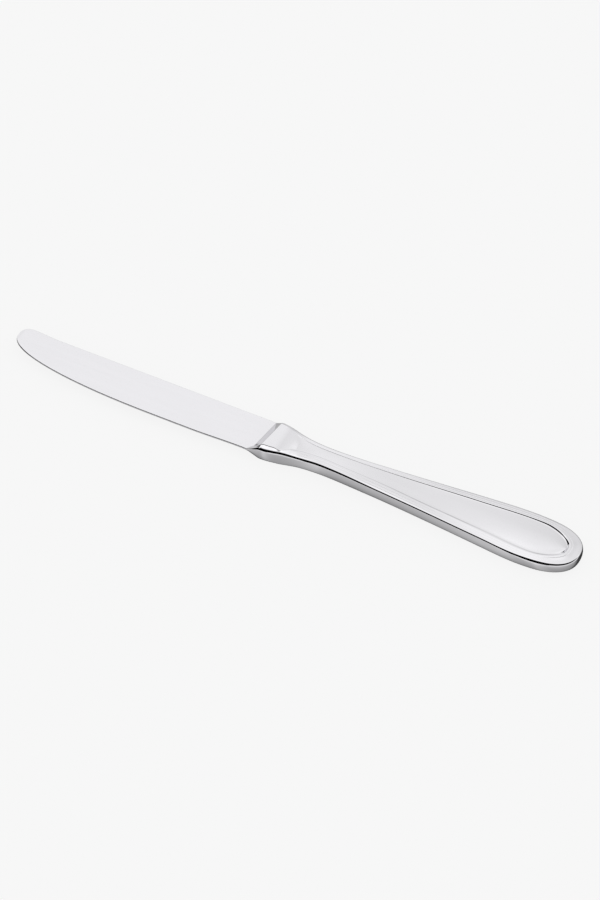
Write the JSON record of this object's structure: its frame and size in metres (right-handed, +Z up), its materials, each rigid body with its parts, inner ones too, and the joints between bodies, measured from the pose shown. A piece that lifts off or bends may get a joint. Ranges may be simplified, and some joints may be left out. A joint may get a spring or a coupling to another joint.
{
  "type": "dessert knife",
  "caption": "Polished steel dessert knife with a blunt rounded blade, an oblique bolster and a hollow handle with a beaded border round a sunk panel.",
  "frame": {"origin": "centre of the knife's bounding box, at the level of the surface it lies on", "axes": "+X from the blade's tip to the handle's butt, +Y from the cutting edge to the back of the blade, +Z up as the knife lies on its side"},
  "size_m": [0.212, 0.0204, 0.0066],
  "materials": {
    "blade_steel": "mirror polished stainless steel with very faint hairlines",
    "handle_steel": "mirror polished stainless steel, a little softer on the panel",
    "braze": "dull as cast",
    "cement": "matte, fine grained"
  },
  "bodies": {
    "root": {"blade": "blade_steel", "handle_front_shell": "handle_steel", "handle_back_shell": "handle_steel", "mouth_braze": "braze", "handle_filler": "cement"}
  },
  "joints": []
}
